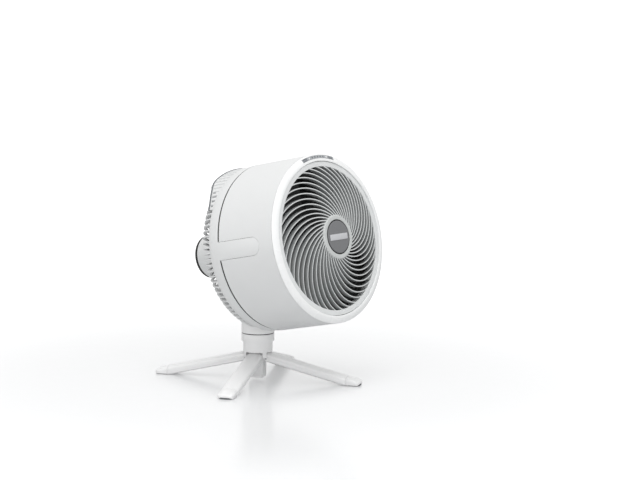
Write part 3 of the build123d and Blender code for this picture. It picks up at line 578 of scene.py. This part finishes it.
# %% The bezel's ring
crest_radius = bezel_inner + 1.5
crest, edge_height = 5.3, 0.3


def bezel_height(radius):
    """Height of the bezel's face at a radius, in millimetres."""
    share = (radius - crest_radius) / (drum_radius - crest_radius)
    return crest - (crest - edge_height) * share ** 2


face_steps = 18
face_radii = [bezel_inner + (drum_radius - bezel_inner) * k / face_steps
              for k in range(face_steps + 1)]
collar_outer, collar_low, lip_inner = 140.5, -12, 149.0
bezel = turned("bezel_ring", [(collar_outer, collar_low), (bezel_inner, collar_low)]
               + [(r, bezel_height(r)) for r in face_radii]
               + [(lip_inner, edge_height), (lip_inner, 0), (collar_outer, 0)],
               bezel_painted_light_abs, 0.35)

# %% The strip's slot and the keys' wells, in millimetres and degrees
panel_mid, panel_half_band, panel_half_angle = 146.2, 2.8, 17.0
side_gap, end_gap, slot_depth, well_depth = 0.3, 0.12, 1.2, 2.95
key_half_band, key_half_angle, key_places = 2.3, 2.22, (103.9, 76.1)
dot_half_band, dot_half_angle, dot_places = 1.9, 0.75, (99.3, 80.7)
slot_room, well_room = 5, 9


def slot(half_band, half_angle, depth, middle=90.0):
    """A curved slot along the bezel's face, open above."""
    inner, outer = panel_mid - half_band, panel_mid + half_band
    low, high = bezel_height(inner), bezel_height(outer)
    return sector([(inner, low - depth, half_angle), (outer, high - depth, half_angle),
                   (outer, high + slot_room, half_angle),
                   (inner, low + slot_room, half_angle)], middle)


take_out(bezel, slot(panel_half_band + side_gap, panel_half_angle + end_gap, slot_depth))
for key_place in key_places:
    take_out(bezel, slot(key_half_band, key_half_angle, well_depth, key_place))
# A round key is level underneath, so its well has a level floor.
well_floor = bezel_height(panel_mid) - well_depth
for dot_place in dot_places:
    take_out(bezel, band(panel_mid - dot_half_band, panel_mid + dot_half_band, well_floor,
                         well_floor + well_room, dot_place, dot_half_angle, 24))
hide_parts("front_bezel")
print("bezel polygons", len(bezel.data.polygons))

# %% [markdown]
# ## A tree that repeats a bar round the axis
#
# Both grilles are one bar repeated round the head's axis. A curve gives the bar's path. The
# tree sweeps a rounded strip along it, copies it in even turns, joins the copies and gives
# them their material. The same tree makes the vanes in front and the ribs behind. Made says
# how many of the even places get a bar, because the ribs leave a gap for the bracket.


# %% Build the repeating tree
def build_bar_tree():
    """Geometry Nodes: sweep a strip along the object's curve and repeat it about Z."""
    tree = bpy.data.node_groups.new("bars_round_an_axis", "GeometryNodeTree")
    face = tree.interface
    face.new_socket("Path", in_out="INPUT", socket_type="NodeSocketGeometry")
    for label, kind in (("Count", "NodeSocketInt"), ("Made", "NodeSocketInt"),
                        ("First turn", "NodeSocketFloat"), ("Thickness", "NodeSocketFloat"),
                        ("Depth", "NodeSocketFloat"), ("Edge radius", "NodeSocketFloat"),
                        ("Finish", "NodeSocketMaterial")):
        face.new_socket(label, in_out="INPUT", socket_type=kind)
    face.new_socket("Bars", in_out="OUTPUT", socket_type="NodeSocketGeometry")
    given = tree.nodes.new("NodeGroupInput").outputs
    result = tree.nodes.new("NodeGroupOutput")
    path = add(tree, "GeometryNodeSetCurveNormal", {"mode": "Z_UP"}, Curve=given["Path"])
    strip = add(tree, "GeometryNodeCurvePrimitiveQuadrilateral", {"mode": "RECTANGLE"},
                Width=given["Thickness"], Height=given["Depth"])
    soft = add(tree, "GeometryNodeFilletCurve", {"mode": "POLY"}, Curve=strip.outputs[0],
               Radius=given["Edge radius"], Count=2)
    bar = add(tree, "GeometryNodeCurveToMesh", Curve=path.outputs[0],
              Profile_Curve=soft.outputs[0], Fill_Caps=True)
    spots = add(tree, "GeometryNodePoints", Count=given["Made"])
    index = add(tree, "GeometryNodeInputIndex")
    full = add(tree, "ShaderNodeMath", {"operation": "MULTIPLY"})
    tree.links.new(index.outputs[0], full.inputs[0])
    full.inputs[1].default_value = 2 * pi
    part = add(tree, "ShaderNodeMath", {"operation": "DIVIDE"})
    tree.links.new(full.outputs[0], part.inputs[0])
    tree.links.new(given["Count"], part.inputs[1])
    turn = add(tree, "ShaderNodeMath", {"operation": "ADD"})
    tree.links.new(part.outputs[0], turn.inputs[0])
    tree.links.new(given["First turn"], turn.inputs[1])
    about = add(tree, "ShaderNodeCombineXYZ", Z=turn.outputs[0])
    copies = add(tree, "GeometryNodeInstanceOnPoints", Points=spots.outputs[0],
                 Instance=bar.outputs[0], Rotation=about.outputs[0])
    real = add(tree, "GeometryNodeRealizeInstances", Geometry=copies.outputs[0])
    done = add(tree, "GeometryNodeSetMaterial", Geometry=real.outputs[0],
               Material=given["Finish"])
    tree.links.new(done.outputs[0], result.inputs["Bars"])
    return tree


bar_tree = build_bar_tree()
print("tree nodes", len(bar_tree.nodes))


# %% Bars from a path
def bars(name, path, count, made, first_turn, thickness, depth, edge, material):
    """Bars round the head's axis, along a path of points in millimetres."""
    curve = bpy.data.curves.new(name + "_path", "CURVE")
    curve.dimensions = "3D"
    spline = curve.splines.new("POLY")
    spline.points.add(len(path) - 1)
    for spot, point in zip(spline.points, path):
        spot.co = (point[0] * mm, point[1] * mm, point[2] * mm, 1)
    holder = bpy.data.objects.new(name + "_path", curve)
    bpy.context.scene.collection.objects.link(holder)
    modifier = holder.modifiers.new("bars", "NODES")
    modifier.node_group = bar_tree
    values = {"Count": count, "Made": made, "First turn": first_turn,
              "Thickness": thickness * mm, "Depth": depth * mm, "Edge radius": edge * mm,
              "Finish": material}
    for item in bar_tree.interface.items_tree:
        if item.item_type == "SOCKET" and item.in_out == "INPUT" and item.name in values:
            modifier[item.identifier] = values[item.name]
    bpy.context.view_layer.update()
    graph = bpy.context.evaluated_depsgraph_get()
    mesh = bpy.data.meshes.new_from_object(holder.evaluated_get(graph))
    bpy.data.objects.remove(holder)
    mesh.name = name
    mesh.transform(head_place)
    obj = link(name, mesh, material)
    finish_mesh(obj)
    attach(obj, "head")
    return obj


# %% [markdown]
# ## The front grille
#
# Forty thin vanes curl from the centre ring to the frame. Seen from the front each is an
# arc of one circle, and together they swell into a shallow dome. The arc is sampled, each
# point is lifted to the dome, and the strip hangs half its depth below that line.

# %% The dome and the vanes' circle
grille_outer = 137.7
dome_rise = 24.0
sphere = (grille_outer ** 2 + dome_rise ** 2) / (2 * dome_rise)
nearest, beyond = 19.4, 7.7
vane_arc = (grille_outer + beyond + nearest) / 2
arc_centre = (grille_outer + beyond - nearest) / 2
vane_count, vane_thickness, vane_depth = 40, 2.0, 10.0


def dome(radius):
    """Height of the dome at a radius, in millimetres."""
    return sqrt(sphere ** 2 - radius ** 2) - (sphere - dome_rise)


def arc_angle(radius):
    """Where the vane's circle crosses a radius from the head's axis."""
    reach = radius ** 2 - arc_centre ** 2 - vane_arc ** 2
    return acos(reach / (2 * arc_centre * vane_arc))


print("dome sphere", round(sphere, 1), "mm, vane circle", vane_arc, "mm")

# %% Vanes
vane_start, vane_end = -arc_angle(36.5), -arc_angle(133.2)
vane_steps = 32
vane_path = []
for k in range(vane_steps + 1):
    a = vane_start + (vane_end - vane_start) * k / vane_steps
    x, y = arc_centre + vane_arc * cos(a), vane_arc * sin(a)
    vane_path.append((x, y, dome(sqrt(x * x + y * y)) - vane_depth / 2))
# The turn puts one vane at 8.2 degrees where its radius is 90 mm.
known = -arc_angle(90.0)
vane_turn = radians(8.2) - atan2(vane_arc * sin(known), arc_centre + vane_arc * cos(known))
vanes = bars("grille_vanes", vane_path, vane_count, vane_count, vane_turn, vane_thickness,
             vane_depth, 0.45, silver_abs_painted_highlight)
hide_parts("front_grille")
print("vane polygons", len(vanes.data.polygons))

# %% Frame ring and centre ring
frame_inner = grille_outer - 9.0
turned("grille_frame", [
    (frame_inner, -vane_depth), (grille_outer, -vane_depth), (grille_outer, 3.5),
    (frame_inner, dome(frame_inner) + 0.6),
], frame_abs, 0.6)
centre_radius, badge_hole = 39.5, 31.2
centre_low = dome(centre_radius) - vane_depth - 0.6
centre_floor = centre_low + 2
centre_top = dome(centre_radius) + 1.4
turned("grille_centre_ring", [
    (0, centre_low), (centre_radius, centre_low), (centre_radius, centre_top - 1.4),
    (centre_radius - 1.6, centre_top), (badge_hole, centre_top),
    (badge_hole, centre_floor), (0, centre_floor),
], pale_ring_abs, 0.6)
print("centre ring top", round(centre_top, 2), "mm")

# %% [markdown]
# ## The centre badge
#
# A mid-grey disc sits in the ring with a narrow gap round it, and a pale bar crosses it.
# The bar is left bare. The disc is turned, because its edge has to stay round, and the bar
# is a softened copy. A dark ring lies in the gap as painted shade, where a real one has
# deep shade.

# %% Badge and bar
badge_top = centre_top + 0.8
badge_radius, stem_radius = 28.9, 12.0
badge = turned("badge_disc", [
    (0, centre_floor), (stem_radius, centre_floor), (stem_radius, badge_top - 4),
    (badge_radius, badge_top - 4), (badge_radius, badge_top - 0.6),
    (badge_radius - 0.8, badge_top - 0.15), (0, badge_top - 0.15),
], badge_abs, 0.5)
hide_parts("centre_badge")
# The dark ring in the badge's gap is painted shade.
turned("badge_gap_painted_shade", square_outline(
    badge_radius - 0.2, badge_hole + 0.1, centre_top - 3, centre_top - 0.9), dark_and_painted_shade_abs, 0.1)
softened("badge_plate", "head", badge_bar_abs, 0.3)
print("badge top", round(badge_top, 2), "mm")

# %% [markdown]
# ## The rear ribs
#
# Thin ribs, four degrees apart, bend over the rear shoulder, and every second one goes on
# towards the motor housing. Their path is the shoulder's outline with a smooth bend. The
# eleven places that the tilt bracket fills have no rib.


# %% Rib paths
def smooth_path(points):
    """A Catmull-Rom line through points, in millimetres."""
    steps = 6
    rows = [Vector(p) for p in points]
    rows = [rows[0] * 2 - rows[1]] + rows + [rows[-1] * 2 - rows[-2]]
    result = []
    for i in range(1, len(rows) - 2):
        a, b, c, d = rows[i - 1:i + 3]
        for k in range(steps):
            t = k / steps
            result.append(0.5 * (2 * b + (c - a) * t + (2 * a - 5 * b + 4 * c - d) * t ** 2
                                 + (3 * b - a - 3 * c + d) * t ** 3))
    result.append(rows[-2])
    return result


def inset_path(points, depth):
    """A line parallel to a rib's outer edge, on its inner side, as (x, 0, z)."""
    result = []
    for i, point in enumerate(points):
        along = points[min(i + 1, len(points) - 1)] - points[max(i - 1, 0)]
        inward = Vector((along.y, -along.x)).normalized()
        if inward.x > 0:
            inward = -inward
        spot = point + inward * depth
        result.append((spot.x, 0, spot.y))
    return result


# %% Ribs and hoops
rib_thickness, rib_depth, inner_depth, rib_edge = 2.2, 6.5, 3.9, 0.5
shoulder = smooth_path([
    (150.6, ring_rear + 2), (149.4, ring_rear - 10), (143.5, ring_rear - 21),
    (131.0, ring_rear - 31), (106.0, rear_edge - 4), (104.0, rear_edge - 4.4),
])
inner_line = smooth_path([
    (107.0, rear_edge - 4), (84.0, rear_edge - 8.2), (61.0, rear_face),
])
outer_ribs = bars("outer_ribs", inset_path(shoulder, rib_depth / 2), 90, 79, radians(294),
                  rib_thickness, rib_depth, rib_edge, white_abs)
inner_ribs = bars("inner_ribs", inset_path(inner_line, inner_depth / 2), 45, 45, radians(2),
                  rib_thickness, inner_depth, rib_edge, white_abs)
middle_hoop = turned("middle_hoop", square_outline(
    104.0, 108.0, rear_edge - 4, rear_edge + 2.5), white_abs, 0.6)
turned("hub_hoop", square_outline(58.3, 63.0, rear_face, rear_face + 9), white_abs, 0.8)

# %% Room for the bracket and the handle
bracket_low, bracket_high = (-34.8, -190, -250), (34.8, -91.9, -124)
for piece in (outer_ribs, inner_ribs, middle_hoop):
    take_out(piece, box_block(bracket_low, bracket_high))
hood_radius, hood_front, hood_rear = 147, 106.3, 82.3
front_half = degrees(asin(hood_front / hood_radius))
rear_half = degrees(asin(hood_rear / hood_radius))
room_inner, room_outer, room_rear = 146.8, 156.0, rear_edge - 3
take_out(outer_ribs, sector([
    (room_inner, ring_rear, front_half), (room_outer, ring_rear, front_half),
    (room_outer, room_rear, rear_half), (room_inner, room_rear, rear_half),
], 90.0))
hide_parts("rear_grille")
print("rib polygons", len(outer_ribs.data.polygons), len(inner_ribs.data.polygons))

# %% [markdown]
# ## The handle's ribbed skin
#
# Over the top the ribs carry on across the handle's hood, out to a rim that curves down
# into them on each side; its grey is painted shade on the hood's rear edge. The hood is
# shaved, and one grid makes its new skin: columns pair up as raised ribs and sunk gaps, and
# each column ends at the rim's line. A second grid lays a grey sheet under the gaps as
# painted shade. A grid fits here because the ribs are joined to the hood. The rim is one
# bar of the repeating tree.

# %% The rim's line, in millimetres and degrees
rim_rear, rim_climb, rim_curve = -185.0, 26, 1.3
level_half, climb_run, easing = 29, 28, 3


def rim_height(aside):
    """Height of the handle's rear rim, at an angle in degrees from the top."""
    total = 0
    for shift in (-easing, 0, easing):
        share = min(max((abs(aside + shift) - level_half) / climb_run, 0), 1)
        total += rim_rear + rim_climb * (1 - (1 - share) ** rim_curve)
    return total / 3


print("rim from", round(rim_height(0), 1), "to", round(rim_height(57), 1), "mm")

# %% The columns of the skin, each with an angle and an outer radius
rib_half, gap_half, rib_pitch, last_rib = 0.95, 1.15, 4, 14
skin_outer, skin_inner, skin_gap = 150.5, 147.3, 148.3
shaved = (149.0, 154, -190, -140)
take_out(pieces["carry_handle"], band(*shaved, 90.0, 60))
columns = []
for k in range(-last_rib, last_rib + 1):
    middle = rib_pitch * k
    columns += [(middle - gap_half, skin_gap), (middle - rib_half, skin_outer),
                (middle + rib_half, skin_outer), (middle + gap_half, skin_gap)]
columns = columns[1:-1]


# %% The skin's grid
def skin_grid(name, sections, material):
    """A closed shell from one outline of (radius, height) for each column."""
    edit = bmesh.new()
    rows = []
    for (aside, _), section in zip(columns, sections):
        angle = radians(90 + aside)
        rows.append([edit.verts.new((r * cos(angle) * mm, r * sin(angle) * mm, z * mm))
                     for r, z in section])
    count = len(sections[0])
    for one, two in zip(rows, rows[1:]):
        for i in range(count):
            j = (i + 1) % count
            edit.faces.new((one[i], one[j], two[j], two[i]))
    edit.faces.new(rows[0])
    edit.faces.new(rows[-1])
    obj = link(name, closed_mesh(name, edit, head_place), material)
    finish_mesh(obj)
    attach(obj, "head")


skin_front = -149.3
ribbed, gap_shade_outlines = [], []
for aside, outer in columns:
    rear = rim_height(aside)
    ribbed.append([(skin_inner, skin_front), (skin_outer, skin_front), (skin_outer, -150.8),
                   (outer, -151.2), (outer, rear + 3.4), (skin_outer, rear + 3.0),
                   (skin_outer, rear), (skin_inner, rear)])
    # Each gap gets a grey sheet under it: painted shade, where the real gaps are dark.
    gap_shade_outlines.append(square_outline(skin_gap - 0.4, skin_gap + 0.1, -151.3, rear + 3.3))
skin_grid("handle_skin", ribbed, white_abs)
skin_grid("handle_gap_painted_shade", gap_shade_outlines, gap_painted_shade_abs)

# %% The rim
rim_points, rim_end, rim_step = 77, -57, 1.5
rim_radius, rim_size, rim_inset = 150.2, 3.0, 1.4
rim_path = []
for k in range(rim_points):
    aside = rim_end + rim_step * k
    angle = radians(90 + aside)
    rim_path.append((rim_radius * cos(angle), rim_radius * sin(angle),
                     rim_height(aside) + rim_inset))
# The rim's dark grey is painted shade on the hood's rear edge.
bars("handle_rim", rim_path, 1, 1, 0.0, rim_size, rim_size, 0.7, rim_painted_shade_abs)
print("handle skin columns", len(columns))

# %% [markdown]
# ## Floor and sky
#
# The fan stands on plain white. A brighter lamp would wash out the white plastic, so the
# floor adds a glow of its own for the camera alone, weaker near the fan. The soft shadow
# and the faint reflection under the legs stay visible, and no extra light falls on the fan.

# %% Floor
glow_near, glow_far = 0.22, 0.66
clear_radius, white_radius = 0.3, 1.6


def make_floor():
    """A pale floor that shows as white and keeps a soft shadow."""
    edit = bmesh.new()
    bmesh.ops.create_grid(edit, x_segments=1, y_segments=1, size=30)
    mesh = bpy.data.meshes.new("studio_floor")
    edit.to_mesh(mesh)
    edit.free()
    material, tree, output, place = new_material("studio_white")
    grain = add(tree, "ShaderNodeTexNoise", Vector=place, Scale=40.0, Detail=2.0)
    rough = add(tree, "ShaderNodeMapRange", Value=grain.outputs["Fac"], To_Min=0.16,
                To_Max=0.22)
    shader = add(tree, "ShaderNodeBsdfPrincipled", Roughness=rough.outputs["Result"])
    shader.inputs["Base Color"].default_value = linear("#D4D5D6")
    away = add(tree, "ShaderNodeVectorMath", {"operation": "LENGTH"}, Vector=place)
    level = add(tree, "ShaderNodeMapRange", {"interpolation_type": "SMOOTHSTEP"},
                Value=away.outputs["Value"], From_Min=clear_radius, From_Max=white_radius,
                To_Min=glow_near, To_Max=glow_far)
    rays = add(tree, "ShaderNodeLightPath")
    power = add(tree, "ShaderNodeMath", {"operation": "MULTIPLY"})
    tree.links.new(rays.outputs["Is Camera Ray"], power.inputs[0])
    tree.links.new(level.outputs["Result"], power.inputs[1])
    glow = add(tree, "ShaderNodeEmission", Color=(1, 1, 1, 1), Strength=power.outputs[0])
    both = add(tree, "ShaderNodeAddShader")
    tree.links.new(shader.outputs["BSDF"], both.inputs[0])
    tree.links.new(glow.outputs["Emission"], both.inputs[1])
    tree.links.new(both.outputs["Shader"], output.inputs["Surface"])
    floor = link("studio_floor", mesh, material)


make_floor()
print("floor glow from", glow_near, "to", glow_far)

# %% Sky, softer for the fan than for the camera and for reflections
sky_light, sky_shown = 0.62, 1.0
world = bpy.data.worlds.new("studio")
bpy.context.scene.world = world
world.use_nodes = True
sky = world.node_tree
sky.nodes.clear()
sky_out = sky.nodes.new("ShaderNodeOutputWorld")
rays = add(sky, "ShaderNodeLightPath")
seen = add(sky, "ShaderNodeMath", {"operation": "MAXIMUM"})
sky.links.new(rays.outputs["Is Camera Ray"], seen.inputs[0])
sky.links.new(rays.outputs["Is Glossy Ray"], seen.inputs[1])
plain = add(sky, "ShaderNodeBackground", Color=(1, 1, 1, 1), Strength=sky_light)
shown = add(sky, "ShaderNodeBackground", Color=(1, 1, 1, 1), Strength=sky_shown)
pick = add(sky, "ShaderNodeMixShader", Fac=seen.outputs[0])
sky.links.new(plain.outputs[0], pick.inputs[1])
sky.links.new(shown.outputs[0], pick.inputs[2])
sky.links.new(pick.outputs[0], sky_out.inputs["Surface"])
print("sky light", sky_light)

# %% [markdown]
# ## Lamps
#
# One large square lamp above gives the soft shadow, and three weaker ones on the left fill
# the side that the camera sees. Large lamps keep the highlights on satin plastic broad.


# %% Lamps
def softbox(name, place, aim, size, power):
    """A square area lamp, in metres and watts."""
    lamp = bpy.data.lights.new(name, "AREA")
    lamp.shape = "SQUARE"
    lamp.size = size
    lamp.energy = power
    obj = bpy.data.objects.new(name, lamp)
    bpy.context.scene.collection.objects.link(obj)
    obj.location = place
    obj.rotation_euler = (aim - Vector(place)).to_track_quat("-Z", "Y").to_euler()


fan_middle = Vector((0, -0.03, 0.24))
softbox("key_above", (-0.6, -0.6, 2.2), fan_middle, 1.6, 19)
softbox("fill_left", (-2.2, -1.2, 0.7), fan_middle, 1.6, 4.5)
softbox("fill_rear", (-1.9, 1.3, 0.35), fan_middle, 1.4, 3)
softbox("fill_front", (-1.5, -2.2, 0.5), fan_middle, 1.6, 10)
print("lamps", len(bpy.data.lights))

# %% [markdown]
# ## The camera
#
# The view was measured: the eye is 3.9 m away and half a metre above the drum's middle,
# about 51 degrees round to the left as one faces the grille. A long lens from far off keeps
# the ellipses as they are in the picture, where a nearer and wider one would swell the
# front.

# %% Camera
eye_distance, aim_right, aim_height = 3933.02, 112.4376, 258.8839
lens_pixels, picture_pixels, sensor_width = 2155.073, 640, 36
turn, rise, roll = radians(-50.8988), radians(7.6129), radians(0.5052)
back = Vector((sin(turn) * cos(rise), -cos(turn) * cos(rise), sin(rise)))
right = Vector((cos(turn), sin(turn), 0))
up = back.cross(right)
aim = right * aim_right * mm + Vector((0, 0, aim_height * mm))
eye = aim + back * eye_distance * mm
rolled_right = right * cos(roll) + up * sin(roll)
rolled_up = up * cos(roll) - right * sin(roll)
lens_data = bpy.data.cameras.new("photo_camera")
lens_data.sensor_fit = "HORIZONTAL"
lens_data.sensor_width = sensor_width
lens_data.lens = lens_pixels * sensor_width / picture_pixels
lens_data.clip_start = 0.05
lens_data.clip_end = 100
camera = bpy.data.objects.new("photo_camera", lens_data)
bpy.context.scene.collection.objects.link(camera)
camera.matrix_world = Matrix((
    (rolled_right.x, rolled_up.x, back.x, eye.x),
    (rolled_right.y, rolled_up.y, back.y, eye.y),
    (rolled_right.z, rolled_up.z, back.z, eye.z),
    (0, 0, 0, 1),
))
bpy.context.scene.camera = camera
bpy.context.scene.view_settings.view_transform = "Standard"
print("lens", round(lens_data.lens, 1), "mm")
